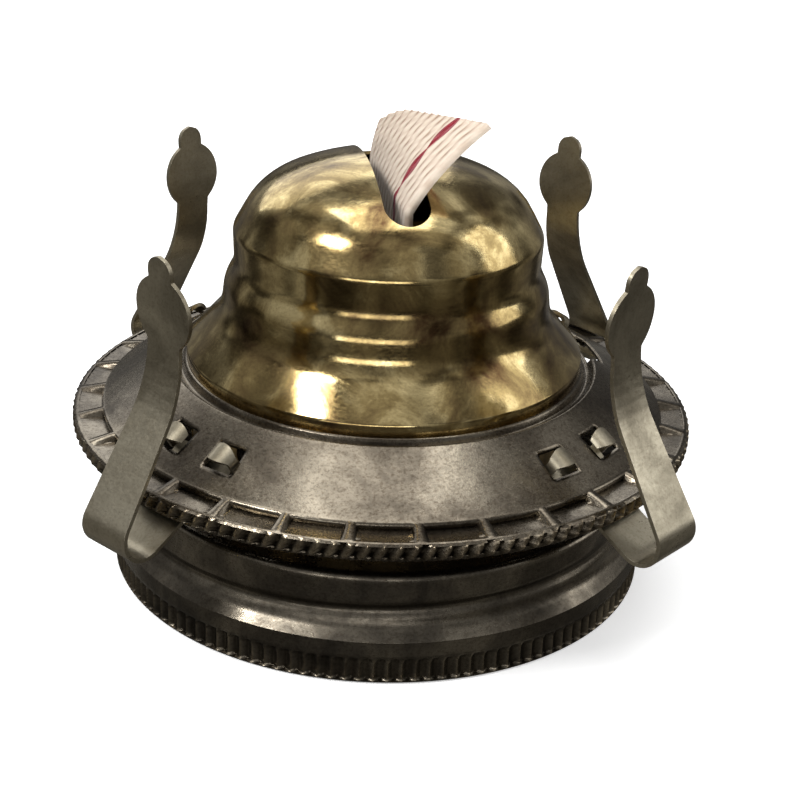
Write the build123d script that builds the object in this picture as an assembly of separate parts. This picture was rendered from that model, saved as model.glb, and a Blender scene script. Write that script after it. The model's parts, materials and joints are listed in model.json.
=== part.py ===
from build123d import *
import os
from math import atan, cos, degrees, radians, sin, tan

# An oil lamp burner on a screw cap for a preserving jar. A flat wick is raised by a
# thumbwheel, a slotted dome shapes the flame, and four spring prongs grip a glass chimney.
# Frame: millimetres, +Z up, origin on the cap's axis in the plane of its open rim.
# The wick's width, the slot in the dome and the wick shaft all run along Y.

# ---------------------------------------------------------------- driving dimensions
SHEET = 0.6                 # thickness of the pressed brass sheet
THIN = 0.5                  # thickness of the lighter inner pressings
PLAY = 0.05                 # gap between pieces that sit close but don't touch

CAP_RIM_R = 37.5            # skirt of the jar cap, over its grip ribs, 75 mm across
CAP_BAND_R = 35.8           # upper band of the cap, which carries the thread
CAP_TOP_Z = 14.7
CAP_HOLE_R = 22.0
THREAD_PITCH = 5.08         # five threads to the inch
THREAD_TURNS = 0.95
NECK_WALL_Z = 6.0           # top of the plain wall that the jar's neck enters first
THREAD_START_Z = 8.6
THREAD_START_DEG = 190.0

GALLERY_R = 42.8            # milled edge of the gallery, 86 mm across
GALLERY_EDGE_Z = 20.5       # lower edge of the gallery's skirt
GALLERY_PANEL_Z = 22.8
GALLERY_DISH_R = 38.2       # outer end of the sloping dish
GALLERY_DISH_Z = 23.9
CREST_R = 29.1              # raised ring around the dome
CREST_Z = 29.5
SEAT_Z = 29.5               # flat ring that the dome stands on
SEAT_HOLE_R = 22.6
FLUTE_COUNT = 30

DOME_FOOT_R = 27.2
DOME_NECK_R = 20.95
DOME_TOP_Z = 58.1
SLOT_LENGTH = 33.6
SLOT_WIDTH = 6.2

WICK_WIDTH = 25.4           # one inch
WICK_THICK = 2.0
WICK_SPLIT_Z = 30.0         # where the sliding wick meets its slack tail
TUBE_TOP_Z = 49.5
TUBE_FOOT_Z = 12.2

SHAFT_R = 1.2
SHAFT_Z = 17.8
WHEEL_R = 4.4               # tips of the spur wheels
WHEEL_GAP = 0.2             # between the spur tips and the wick
SHAFT_X = -(WICK_THICK / 2 + WHEEL_GAP + WHEEL_R)
THUMB_R = 8.0
THUMB_Y = 47.6              # plane where the two halves of the thumbwheel meet

PRONG_COUNT = 4
PRONG_FIRST_DEG = 37.0
PRONG_THICK = 0.55
BEND_R = 3.1                # centre line of the bend under the gallery's edge
BEND_CENTRE = (46.5, 19.8)  # (radius, height) of the bend's centre
BLADE_TILT = 32.0           # degrees from vertical, where the blade rises from the bend
FOOT_TILT = 30.0            # degrees below level, where the foot runs into the bend
PRONG_GAP = 0.2             # between the foot and the blade, at the foot of the bend
LUG_R = 34.2
LUG_OFFSET = 3.93

DISH_SLOPE = (CREST_Z - GALLERY_DISH_Z) / (GALLERY_DISH_R - CREST_R)

UP = (Align.CENTER, Align.CENTER, Align.MIN)
ON_X = (Align.MIN, Align.CENTER, Align.CENTER)


# ---------------------------------------------------------------- small helpers
def in_section(points):
    """Turns (radius, height) pairs into points of the XZ plane."""
    return [(radius, 0, height) for radius, height in points]


def pressed_sheet(skin, thickness):
    """Revolves a pressed sheet whose outer skin is the wire, with its metal on the inner side."""
    section = skin.offset_2d(thickness, kind=Kind.INTERSECTION, side=Side.RIGHT, closed=True)
    return revolve(make_face(section), Axis.Z, 360)


def tube(outer, inner, low, high):
    """A plain ring or tube about Z."""
    height = high - low
    return Pos(0, 0, low) * (Cylinder(outer, height, align=UP) - Cylinder(inner, height, align=UP))


def toothed_ring(root, tip, count, land, low, high, bore):
    """A ring with straight teeth; land is the share of the pitch that a tooth's crest takes."""
    pitch = 360 / count
    outline = []
    for tooth in range(count):
        for share, radius in ((0.0, root), (0.2, tip), (0.2 + land, tip), (0.4 + land, root)):
            angle = radians(pitch * (tooth + share))
            outline.append((radius * cos(angle), radius * sin(angle)))
    ring = extrude(Face(Wire.make_polygon(outline, close=True)), high - low)
    return Pos(0, 0, low) * (ring - Cylinder(bore, high - low, align=UP))


def around(shape, count, first=0.0):
    """Copies of a shape, evenly turned about Z."""
    return [Rot(0, 0, first + 360 / count * i) * shape for i in range(count)]


def arc_about(centre, radius, start_deg, end_deg):
    """An arc in the section plane; angles are counted up from the outward level."""
    ends = []
    for angle in (start_deg, (start_deg + end_deg) / 2, end_deg):
        turn = radians(angle)
        ends.append((centre[0] + radius * cos(turn), centre[1] + radius * sin(turn)))
    return ThreePointArc(*in_section(ends))


def ribbon(line, thickness, half_width):
    """A bent strip: the centre line in the section plane, given thickness and width."""
    halves = []
    for side in (Side.LEFT, Side.RIGHT):
        section = line.offset_2d(thickness / 2, kind=Kind.INTERSECTION, side=side, closed=True)
        halves.append(extrude(make_face(section), half_width, both=True))
    return halves[0] + halves[1]


def across(shape, degrees_z):
    """Turns a shape that was built on +X to its azimuth."""
    return Rot(0, 0, degrees_z) * shape


def save(name, shape):
    export_step(shape, f"parts/{name}.step")


# ---------------------------------------------------------------- jar cap and gasket
def thread_rope(radius, rope_r):
    """A helical rope of round section that follows the cap's rolled thread."""
    path = Helix(pitch=THREAD_PITCH, height=THREAD_PITCH * THREAD_TURNS, radius=radius)
    rope = sweep(Plane(origin=path @ 0, z_dir=path % 0) * Circle(rope_r), path=path, is_frenet=True)
    return Pos(0, 0, THREAD_START_Z) * Rot(0, 0, THREAD_START_DEG) * rope


def jar_cap():
    skin = FilletPolyline(
        *in_section([
            (CAP_HOLE_R, CAP_TOP_Z),
            (CAP_BAND_R, CAP_TOP_Z),
            (CAP_BAND_R, 8.0),
            (CAP_RIM_R, 6.3),
            (CAP_RIM_R, 0),
        ]),
        radius=[0.8, 0.5, 0.6],
    )
    cap = pressed_sheet(skin, SHEET)
    # The thread is rolled into the wall: a ridge inside, and its hollow outside.
    inner_wall = CAP_BAND_R - SHEET
    cap += thread_rope(inner_wall - 0.1, 0.55)
    cap -= thread_rope(CAP_BAND_R + 0.15, 0.5)
    return cap


def cap_gasket():
    top = CAP_TOP_Z - SHEET
    return tube(CAP_BAND_R - SHEET - 0.7, 28.5, top - 1.1, top)


# ---------------------------------------------------------------- burner body
COVER_X = SHAFT_X - WHEEL_R - 1.0          # back wall of the housing over the spur wheels
COVER_HALF_Y = 14.6
COVER_HALF_Z = WHEEL_R + 1.0
TUBE_HALF_X = WICK_THICK / 2 + 1.05
TUBE_HALF_Y = WICK_WIDTH / 2 + 1.0
VENT_X = 6.5
VENT_R = 1.6
DRUM_R = 26.6
DRUM_FOOT_Z = CAP_TOP_Z + SHEET
DRUM_TOP_Z = SEAT_Z - SHEET
BUSH_R = 2.2
BUSH_FROM_Y = 24.2
BUSH_TO_Y = 28.2


def base_plate():
    plate_r = 30.0
    plate = Pos(0, 0, CAP_TOP_Z) * Cylinder(plate_r, SHEET, align=UP)
    gap = 0.2
    width = TUBE_HALF_X - COVER_X + 2 * gap
    middle = (TUBE_HALF_X + COVER_X) / 2
    opening = Pos(middle, 0, CAP_TOP_Z) * Box(width, 2 * (COVER_HALF_Y + gap), SHEET, align=UP)
    vent_hole = Pos(VENT_X, 0, CAP_TOP_Z) * Cylinder(VENT_R + PLAY, SHEET, align=UP)
    return plate - opening - vent_hole


def shaft_bore(radius, low, high):
    """A cylinder on the wick shaft's axis, from y = low to y = high."""
    rod = Cylinder(radius, high - low, align=UP)
    return Pos(SHAFT_X, low, SHAFT_Z) * Rot(-90, 0, 0) * rod


def air_basket():
    drum = tube(DRUM_R, DRUM_R - THIN, DRUM_FOOT_Z, DRUM_TOP_Z)
    hole_r = 1.6
    holes_in_row = 24
    row_heights = (18.6, 22.6, 26.4)
    half_pitch = 360 / holes_in_row / 2
    bush_clearance = 5.0
    drill = Pos(DRUM_R, 0, 0) * Rot(0, 90, 0) * Cylinder(hole_r, 8 * THIN)
    holes = [shaft_bore(BUSH_R + PLAY, BUSH_FROM_Y - 4, BUSH_TO_Y + 2)]
    for row, height in enumerate(row_heights):
        for hole in around(Pos(0, 0, height) * drill, holes_in_row, first=half_pitch * (row % 2)):
            middle = hole.center()
            near_bush = abs(middle.X - SHAFT_X) < bush_clearance and middle.Y > 0 and row == 0
            if not near_bush:
                holes.append(hole)
    return drum - holes


def shaft_bush():
    bush = shaft_bore(BUSH_R, BUSH_FROM_Y, BUSH_TO_Y)
    return bush - shaft_bore(SHAFT_R + PLAY, BUSH_FROM_Y - 1, BUSH_TO_Y + 1)


def air_diffuser():
    below_drum_top = 1.4
    gap = 0.2
    hole_r = 1.1
    hole_rings = ((17.0, 24), (20.5, 30), (23.8, 36))       # (radius of the ring, holes in it)
    low = DRUM_TOP_Z - below_drum_top
    disc = Pos(0, 0, low) * Cylinder(DRUM_R - THIN - PLAY, THIN, align=UP)
    tube_hole = Box(2 * TUBE_HALF_X + gap, 2 * TUBE_HALF_Y + gap, THIN, align=UP)
    vent_hole = Cylinder(VENT_R + PLAY, THIN, align=UP)
    holes = [Pos(0, 0, low) * tube_hole, Pos(VENT_X, 0, low) * vent_hole]
    drill = Pos(0, 0, low) * Cylinder(hole_r, THIN, align=UP)
    for radius, count in hole_rings:
        holes += around(Pos(radius, 0, 0) * drill, count)
    return disc - holes


WHEEL_Y = (-10.2, -3.4, 3.4, 10.2)


def wick_tube():
    height = TUBE_TOP_Z - TUBE_FOOT_Z
    corner_r = 1.6
    window_width = 2.6
    tip_room = 0.4
    outer = Box(2 * TUBE_HALF_X, 2 * TUBE_HALF_Y, height, align=UP)
    outer = fillet(outer.edges().filter_by(Axis.Z), corner_r)
    inner = Box(2 * (TUBE_HALF_X - THIN), 2 * (TUBE_HALF_Y - THIN), height, align=UP)
    inner = fillet(inner.edges().filter_by(Axis.Z), corner_r - THIN)
    body = Pos(0, 0, TUBE_FOOT_Z) * (outer - inner)
    window = Box(2 * THIN, window_width, 2 * (WHEEL_R + tip_room))
    for y in WHEEL_Y:
        body -= Pos(-TUBE_HALF_X, y, SHAFT_Z) * window
    return body


def ratchet_cover():
    depth = -TUBE_HALF_X - COVER_X
    middle = (COVER_X - TUBE_HALF_X) / 2
    outer = Pos(middle, 0, SHAFT_Z) * Box(depth, 2 * COVER_HALF_Y, 2 * COVER_HALF_Z)
    hollow = Pos(middle + THIN, 0, SHAFT_Z) * Box(
        depth, 2 * (COVER_HALF_Y - THIN), 2 * (COVER_HALF_Z - THIN)
    )
    return outer - hollow - shaft_bore(SHAFT_R + PLAY, -COVER_HALF_Y - 1, COVER_HALF_Y + 1)


def vent_tube():
    foot_z = 11.6
    top_z = 33.0
    return Pos(VENT_X, 0, 0) * tube(VENT_R, VENT_R - THIN, foot_z, top_z)


# ---------------------------------------------------------------- wick drive
def wick_shaft():
    past_cover = 1.0
    past_thumbwheel = 2.2
    return shaft_bore(SHAFT_R, -COVER_HALF_Y - past_cover, THUMB_Y + past_thumbwheel)


def spur_wheel(y):
    """A thin toothed wheel, pressed on the shaft, that pricks into the wick."""
    tooth_count = 14
    tooth_depth = 1.1
    crest_share = 0.05
    half = 0.5
    root = WHEEL_R - tooth_depth
    wheel = toothed_ring(root, WHEEL_R, tooth_count, crest_share, -half, half, SHAFT_R)
    return Pos(SHAFT_X, y, SHAFT_Z) * Rot(-90, 0, 0) * wheel


def thumbwheel_half(facing):
    """One dished half of the thumbwheel; facing is -1 for the inner half and 1 for the outer."""
    hub_r = 3.2
    hub_height = 1.9
    dish_r = 5.2
    tooth_count = 44
    tooth_depth = 0.45
    crest_share = 0.2
    rim_width = 1.2
    dish = FilletPolyline(
        *in_section([
            (SHAFT_R, hub_height),
            (hub_r, hub_height),
            (dish_r, THIN),
            (THUMB_R - rim_width / 2, THIN),
        ]),
        radius=0.4,
    )
    root = THUMB_R - tooth_depth
    bore = THUMB_R - rim_width
    half = pressed_sheet(dish, THIN)
    half += toothed_ring(root, THUMB_R, tooth_count, crest_share, 0, THIN, bore)
    turned = Rot(-90, 0, 0) * half if facing > 0 else Rot(90, 0, 0) * half
    return Pos(SHAFT_X, THUMB_Y, SHAFT_Z) * turned


# ---------------------------------------------------------------- gallery
def gallery_pressing():
    skin = FilletPolyline(
        *in_section([
            (SEAT_HOLE_R, SEAT_Z),
            (27.4, SEAT_Z),
            (27.8, 28.4),
            (28.4, 28.4),
            (CREST_R, CREST_Z),
            (GALLERY_DISH_R, GALLERY_DISH_Z),
            (GALLERY_DISH_R + 0.4, GALLERY_PANEL_Z),
            (GALLERY_R, GALLERY_PANEL_Z),
            (GALLERY_R, GALLERY_EDGE_Z),
        ]),
        radius=[0.3, 0.25, 0.25, 0.3, 0.5, 0.2, 0.7],
    )
    return pressed_sheet(skin, SHEET)


def flute_rib():
    """One of the narrow ribs between the sunken panels of the gallery's edge, on +X."""
    half_width = 0.55
    low = GALLERY_PANEL_Z - SHEET / 2
    side = make_face(Polyline(
        *in_section([
            (GALLERY_DISH_R - 0.2, low),
            (GALLERY_DISH_R - 0.2, GALLERY_DISH_Z - 0.1),
            (GALLERY_DISH_R + 0.6, GALLERY_DISH_Z - 0.1),
            (GALLERY_R - 0.6, GALLERY_PANEL_Z + 0.1),
            (GALLERY_R - 0.6, low),
        ]),
        close=True,
    ))
    return extrude(side, half_width, both=True)


def gallery():
    dish = gallery_pressing() + around(flute_rib(), FLUTE_COUNT, first=360 / FLUTE_COUNT / 2)
    lug_hole = Box(3.4, 2.6, 8)
    lug_hole_offset = LUG_OFFSET + 0.5
    lug_hole_z = 26.2
    window = Box(2.2, 8.6, 6)
    window_r = 29.6
    holes = []
    for side in (-1, 1):
        punch = Pos(LUG_R, side * lug_hole_offset, lug_hole_z) * lug_hole
        holes += around(punch, PRONG_COUNT, first=PRONG_FIRST_DEG)
    # Two windows in the raised ring, at right angles to the wick, let air into the drum.
    holes += around(Pos(window_r, 0, CREST_Z) * window, 2)
    return dish - holes


# ---------------------------------------------------------------- dome
def dome():
    crown_r = 35.0                      # sphere over the top
    corner_r = 10.3                     # rounding from the crown to the shoulder
    crown_z = DOME_TOP_Z - crown_r
    turn = 65.0                         # where the crown runs into the corner, from level
    corner_at = (
        (crown_r - corner_r) * cos(radians(turn)),
        crown_z + (crown_r - corner_r) * sin(radians(turn)),
    )
    end_deg = 26.0
    crown = arc_about((0, crown_z), crown_r, 88, turn)      # its middle falls in the slot
    corner = arc_about(corner_at, corner_r, turn, end_deg)
    shoulder = corner @ 1
    lower = FilletPolyline(
        *in_section([
            (shoulder.X, shoulder.Z),
            (DOME_NECK_R, 47.6),
            (DOME_NECK_R, 42.8),
            (22.1, 40.4),
            (22.7, 36.2),
            (26.7, 31.8),
            (DOME_FOOT_R, 31.0),
            (DOME_FOOT_R, SEAT_Z),
        ]),
        radius=[0.5, 0.5, 0.6, 2.0, 0.4, 0.3],
    )
    skin = Wire([*crown.edges(), *corner.edges(), *lower.edges()])
    shell = pressed_sheet(skin, THIN)
    slot = extrude(SlotOverall(SLOT_LENGTH, SLOT_WIDTH, rotation=90), 8, both=True)
    return shell - Pos(0, 0, DOME_TOP_Z) * slot


# ---------------------------------------------------------------- prongs
def on_bend(angle_deg):
    """Point of the bend's circle, as (radius, height), at an angle from the outward level."""
    angle = radians(angle_deg)
    return (BEND_CENTRE[0] + BEND_R * cos(angle), BEND_CENTRE[1] + BEND_R * sin(angle))


def bend_arc(start_deg, end_deg):
    """Arc of the bend's centre line between two angles."""
    return arc_about(BEND_CENTRE, BEND_R, start_deg, end_deg)


FOOT_LEAVES_DEG = 270 - FOOT_TILT
BLADE_LEAVES_DEG = 360 + BLADE_TILT
GAP_DEG = degrees(PRONG_GAP / 2 / BEND_R)


def foot_line():
    bend_in = on_bend(FOOT_LEAVES_DEG)
    knee_r = 37.2
    inner_r = 32.6
    inner_rise = 3.6
    knee = (knee_r, bend_in[1] + (bend_in[0] - knee_r) * tan(radians(FOOT_TILT)))
    inner = (inner_r, knee[1] + inner_rise)
    straight = FilletPolyline(*in_section([inner, knee, bend_in]), radius=2.0)
    arc = bend_arc(FOOT_LEAVES_DEG, 270 - GAP_DEG)
    return Wire([*straight.edges(), *arc.edges()])


BLADE_FOOT_HALF = 4.0
NECK_HALF = 2.85
DISC_R = 4.9
DISC_Z = 46.1
FINGER_HALF = 2.1
TIP_Z = 52.9
NECK_Z = 41.0


def blade_line():
    leaves = on_bend(BLADE_LEAVES_DEG)
    knee_r = 40.0
    knee = (knee_r, leaves[1] + (leaves[0] - knee_r) / tan(radians(BLADE_TILT)))
    waist = (39.4, 43.5)
    tip = (40.2, TIP_Z)
    rise = FilletPolyline(*in_section([leaves, knee, waist, tip]), radius=[9.0, 12.0])
    arc = bend_arc(270 + GAP_DEG, BLADE_LEAVES_DEG)
    return Wire([*arc.edges(), *rise.edges()])


def blade_outline():
    """Front view of the blade, as a flat plate in the YZ plane."""
    bend_top = BEND_CENTRE[1]
    shank = make_face(Polyline(
        (0, BLADE_FOOT_HALF, 0),
        (0, BLADE_FOOT_HALF, bend_top),
        (0, NECK_HALF, NECK_Z),
        (0, NECK_HALF, DISC_Z),
        (0, -NECK_HALF, DISC_Z),
        (0, -NECK_HALF, NECK_Z),
        (0, -BLADE_FOOT_HALF, bend_top),
        (0, -BLADE_FOOT_HALF, 0),
        close=True,
    ))
    plate = extrude(shank, 60)
    disc = Pos(0, 0, DISC_Z) * Rot(0, 90, 0) * Cylinder(DISC_R, 60, align=UP)
    finger_mid = (DISC_Z + TIP_Z - FINGER_HALF) / 2
    finger = Pos(30, 0, finger_mid) * Box(60, 2 * FINGER_HALF, TIP_Z - FINGER_HALF - DISC_Z)
    tip = Pos(0, 0, TIP_Z - FINGER_HALF) * Rot(0, 90, 0) * Cylinder(FINGER_HALF, 60, align=UP)
    return plate + disc + finger + tip


def prong_blade():
    return ribbon(blade_line(), PRONG_THICK, DISC_R) & blade_outline()


def prong_foot():
    foot = ribbon(foot_line(), PRONG_THICK, LUG_OFFSET + 1.3)
    bend_side = Pos(GALLERY_DISH_R, 0, 0) * Box(20, 2 * BLADE_FOOT_HALF, 60, align=ON_X)
    lug_side = Pos(GALLERY_DISH_R, 0, 0) * Rot(0, 0, 180) * Box(20, 20, 60, align=ON_X)
    foot &= bend_side + lug_side
    dish_z = GALLERY_DISH_Z + (GALLERY_DISH_R - LUG_R) * DISH_SLOPE
    slope_deg = degrees(atan(DISH_SLOPE))
    lug_length = 2.6
    curl_r = 1.25
    stem_thick = 0.9
    stem_length = 2.6
    for side in (-1, 1):
        hanging = (Align.CENTER, Align.CENTER, Align.MAX)
        stem = Box(lug_length, stem_thick, stem_length, align=hanging)
        curl = Rot(0, 90, 0) * Cylinder(curl_r, lug_length)
        curl -= Pos(0, 0, -curl_r) * Box(2 * lug_length, 4 * curl_r, 2 * curl_r)
        lug = Pos(0, side * 0.8, 0) * stem + curl
        seat = Pos(LUG_R, side * LUG_OFFSET, dish_z + 2 * PLAY)
        foot += seat * Rot(0, slope_deg, 0) * lug
    return foot


# ---------------------------------------------------------------- wick
def wick_top():
    """The wick from its meeting with the tail, up the tube and out through the dome, leaning."""
    lean_from_z = 54.6
    near_corner = Vector(8.0, -14.4, 66.3)
    far_corner = Vector(0.4, 8.8, 59.3)
    top_centre = (near_corner + far_corner) / 2
    along = (far_corner - near_corner).normalized()
    rise = top_centre - Vector(0, 0, lean_from_z)
    facing = (rise - along * rise.dot(along)).normalized()
    top_plane = Plane(origin=top_centre, x_dir=along, z_dir=facing)
    body = Pos(0, 0, WICK_SPLIT_Z) * Box(
        WICK_THICK, WICK_WIDTH, lean_from_z - WICK_SPLIT_Z, align=UP
    )
    foot_plane = Plane(origin=(0, 0, lean_from_z), x_dir=(0, 1, 0), z_dir=(0, 0, 1))
    flame_end = loft([plane * Rectangle(WICK_WIDTH, WICK_THICK) for plane in (foot_plane, top_plane)])
    return body + flame_end


def wick_tail():
    """The slack of the wick, which folds back and forth in the cap."""
    half = WICK_THICK / 2
    floor_z = NECK_WALL_Z + 0.4 + half
    fold_r = WICK_THICK / 2 + 0.15
    bend_r = 3.2
    reach = 24.0
    line = FilletPolyline(
        *in_section([
            (0, WICK_SPLIT_Z),
            (0, floor_z + 2 * fold_r),
            (reach, floor_z + 2 * fold_r),
            (reach, floor_z),
            (-reach, floor_z),
        ]),
        radius=[bend_r, fold_r - 0.02, fold_r - 0.02],
    )
    return ribbon(line, WICK_THICK, WICK_WIDTH / 2)


# ---------------------------------------------------------------- write every piece
os.makedirs("parts", exist_ok=True)

save("jar_cap", jar_cap())
save("cap_gasket", cap_gasket())
save("base_plate", base_plate())
save("air_basket", air_basket())
save("air_diffuser", air_diffuser())
save("shaft_bush", shaft_bush())
save("wick_tube", wick_tube())
save("ratchet_cover", ratchet_cover())
save("vent_tube", vent_tube())
save("wick_shaft", wick_shaft())
for number, wheel_y in enumerate(WHEEL_Y, start=1):
    save(f"spur_wheel_{number}", spur_wheel(wheel_y))
save("thumbwheel_inner", thumbwheel_half(-1))
save("thumbwheel_outer", thumbwheel_half(1))
save("gallery", gallery())
save("dome", dome())
for number in range(PRONG_COUNT):
    turn_deg = PRONG_FIRST_DEG + 360 / PRONG_COUNT * number
    save(f"prong_foot_{number + 1}", across(prong_foot(), turn_deg))
    save(f"prong_blade_{number + 1}", across(prong_blade(), turn_deg))
save("wick_top", wick_top())
save("wick_tail", wick_tail())
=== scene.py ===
# %% [markdown]
# # An oil lamp burner on a jar cap
#
# The burner is already built as exact solids, and this lesson gives it its looks. Loading the
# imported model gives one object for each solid, in metres, and none of them may be moved or
# reshaped. Where a solid is too plain, a finer mesh is made in the same place and takes over.

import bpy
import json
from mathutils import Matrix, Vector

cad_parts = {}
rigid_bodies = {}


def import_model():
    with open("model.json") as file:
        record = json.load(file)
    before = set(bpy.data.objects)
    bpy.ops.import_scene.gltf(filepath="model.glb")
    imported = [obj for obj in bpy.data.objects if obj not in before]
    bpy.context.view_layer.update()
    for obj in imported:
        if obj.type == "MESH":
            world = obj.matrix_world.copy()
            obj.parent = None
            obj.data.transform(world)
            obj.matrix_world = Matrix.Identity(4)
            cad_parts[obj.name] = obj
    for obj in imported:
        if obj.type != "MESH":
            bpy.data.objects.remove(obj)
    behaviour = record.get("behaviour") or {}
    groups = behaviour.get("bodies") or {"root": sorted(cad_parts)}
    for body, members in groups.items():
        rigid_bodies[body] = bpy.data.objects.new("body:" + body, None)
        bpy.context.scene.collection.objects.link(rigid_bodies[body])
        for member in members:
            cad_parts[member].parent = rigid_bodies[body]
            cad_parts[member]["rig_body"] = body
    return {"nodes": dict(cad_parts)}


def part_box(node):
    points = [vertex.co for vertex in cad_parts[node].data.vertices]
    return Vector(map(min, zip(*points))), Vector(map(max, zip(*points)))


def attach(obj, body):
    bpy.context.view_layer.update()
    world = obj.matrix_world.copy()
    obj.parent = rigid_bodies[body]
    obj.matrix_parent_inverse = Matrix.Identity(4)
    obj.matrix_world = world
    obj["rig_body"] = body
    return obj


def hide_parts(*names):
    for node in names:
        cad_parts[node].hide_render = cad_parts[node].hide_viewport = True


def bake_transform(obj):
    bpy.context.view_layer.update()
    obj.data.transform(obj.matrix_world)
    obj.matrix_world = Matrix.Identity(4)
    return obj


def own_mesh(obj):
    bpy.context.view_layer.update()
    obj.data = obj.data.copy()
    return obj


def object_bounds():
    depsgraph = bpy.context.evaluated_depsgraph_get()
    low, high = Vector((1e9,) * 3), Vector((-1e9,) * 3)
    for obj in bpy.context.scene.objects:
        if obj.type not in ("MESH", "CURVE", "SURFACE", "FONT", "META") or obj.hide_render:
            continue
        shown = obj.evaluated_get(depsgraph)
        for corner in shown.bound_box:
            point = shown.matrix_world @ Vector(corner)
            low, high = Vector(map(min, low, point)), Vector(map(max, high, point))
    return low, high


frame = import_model()
cad_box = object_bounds()

# %% Bring in what the cells use
import json
from math import asin, atan2, cos, degrees, hypot, pi, radians, sin, sqrt, tan

import bmesh
import bpy
from mathutils import Matrix, Vector

MM = 0.001
SHEET = 0.5                 # millimetres, the brass that the gallery and dome are pressed from
scene = bpy.context.scene

# %% [markdown]
# ## Reading sizes off the solids
#
# The finer meshes have to fit the solids, so their main sizes are measured rather than typed.
# The burner stands on the Z axis, so half of a round solid's width is its radius.


# %% Measure the round solids
def radius_of(node):
    low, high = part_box(node)
    return (high.x - low.x) / 2 / MM


def heights_of(node):
    low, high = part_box(node)
    return low.z / MM, high.z / MM


CAP_R = radius_of("jar_cap")
CAP_TOP = heights_of("jar_cap")[1]
GALLERY_R = radius_of("gallery")
DOME_R = radius_of("dome")
DOME_FOOT = heights_of("dome")[0]
PRONG_TIP = heights_of("prong_blade_1")[1]
print("cap r %.1f, gallery r %.1f, dome r %.1f mm" % (CAP_R, GALLERY_R, DOME_R))

# %% [markdown]
# ## The camera
#
# A camera is aimed by a direction and a roll. `to_track_quat` turns the camera's -Z axis, its
# line of sight, at the target while its Y axis stays up, and a small turn about its own Z axis
# gives the roll. A long lens from a quarter of a metre keeps the round edges calm.

# %% Place the camera
camera_data = bpy.data.cameras.new("camera")
camera = bpy.data.objects.new("camera", camera_data)
scene.collection.objects.link(camera)
scene.camera = camera

DISTANCE, SENSOR_WIDTH, FOCAL_IN_WIDTHS = 240, 36, 2.135
target = Vector((2.45, -0.52, 22.5)) * MM
azimuth, elevation, roll = radians(258), radians(24.29), radians(2.54)
back = Vector((cos(azimuth) * cos(elevation), sin(azimuth) * cos(elevation), sin(elevation)))
camera.location = target + back * DISTANCE * MM
camera.rotation_euler = (
    (-back).to_track_quat("-Z", "Y").to_matrix() @ Matrix.Rotation(roll, 3, "Z")
).to_euler()
camera_data.sensor_width = SENSOR_WIDTH
camera_data.lens = FOCAL_IN_WIDTHS * SENSOR_WIDTH
camera_data.clip_start = 0.01
print("lens %.1f mm" % camera_data.lens)

# %% [markdown]
# ## Helpers for pressed metal
#
# Nearly every part of a burner is thin sheet pressed or spun over a form. The same three steps
# make them all: draw half of the section as a chain of edges, round its corners, and spin it
# once round the axis. The wall gets its thickness last, from a Solidify modifier.


# %% Draw a section
def section(bm, corners):
    """A chain of edges through (radius, height, rounding) corners, in millimetres."""
    points = [bm.verts.new((radius * MM, 0, height * MM)) for radius, height, _ in corners]
    for start, end in zip(points, points[1:]):
        bm.edges.new((start, end))
    for point, (_, _, rounding) in zip(points, corners):
        if rounding:
            bmesh.ops.bevel(
                bm, geom=[point], offset=rounding * MM, offset_type="OFFSET",
                segments=5, profile=0.5, affect="VERTICES", material=-1,
            )
    return bm.verts[:] + bm.edges[:]


def cut_long_edges(bm, longest):
    """Adds points so that no edge of the section is longer than this, in millimetres."""
    for edge in bm.edges[:]:
        cuts = int(edge.calc_length() / MM / longest)
        if cuts:
            bmesh.ops.subdivide_edges(bm, edges=[edge], cuts=cuts)


# %% Spin it round
# A full spin of 500 steps is slow, so one slice is spun, copied round, and merged.
SLICES = 12
SAME_POINT = 0.004          # two points this close, in millimetres, are one


def spin_round(bm, steps):
    geometry = bm.verts[:] + bm.edges[:]
    bmesh.ops.spin(
        bm, geom=geometry, cent=(0, 0, 0), axis=(0, 0, 1), angle=2 * pi / SLICES,
        steps=steps // SLICES,
    )
    a_slice = bm.verts[:] + bm.edges[:] + bm.faces[:]
    for number in range(1, SLICES):
        copied = bmesh.ops.duplicate(bm, geom=a_slice)["geom"]
        points = [part for part in copied if isinstance(part, bmesh.types.BMVert)]
        bmesh.ops.rotate(bm, verts=points, cent=(0, 0, 0),
                         matrix=Matrix.Rotation(2 * pi / SLICES * number, 3, "Z"))
    bmesh.ops.remove_doubles(bm, verts=bm.verts[:], dist=SAME_POINT * MM)
    face_outwards(bm)


def face_outwards(bm):
    """Turns an open pressing so that its faces look up and out."""
    bmesh.ops.recalc_face_normals(bm, faces=bm.faces[:])
    outward = 0.0
    for face in bm.faces:
        middle = face.calc_center_median()
        away = Vector((middle.x, middle.y, 0)).normalized() + Vector((0, 0, 1))
        outward += face.normal.dot(away) * face.calc_area()
    if outward < 0:
        bmesh.ops.reverse_faces(bm, faces=bm.faces[:])


def turn_of(point):
    """The azimuth of a point, in degrees from 0 to 360."""
    return degrees(atan2(point.y, point.x)) % 360


def from_axis(point):
    return hypot(point.x, point.y) / MM


# %% Finish a piece
def finished(name, bm, body, material, sharp=40):
    """Makes an object of the mesh, shades it and lets it ride on its body."""
    mesh = bpy.data.meshes.new(name)
    bm.to_mesh(mesh)
    bm.free()
    mesh.shade_smooth()
    mesh.set_sharp_from_angle(angle=radians(sharp))
    mesh.materials.append(material)
    piece = bpy.data.objects.new(name, mesh)
    scene.collection.objects.link(piece)
    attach(piece, body)
    print(name, len(mesh.polygons), "faces")
    return piece


def thicken(piece, thickness, offset=-1.0):
    wall = piece.modifiers.new("wall", "SOLIDIFY")
    wall.thickness = thickness * MM
    wall.offset = offset
    wall.use_even_offset = False
    return wall


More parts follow.
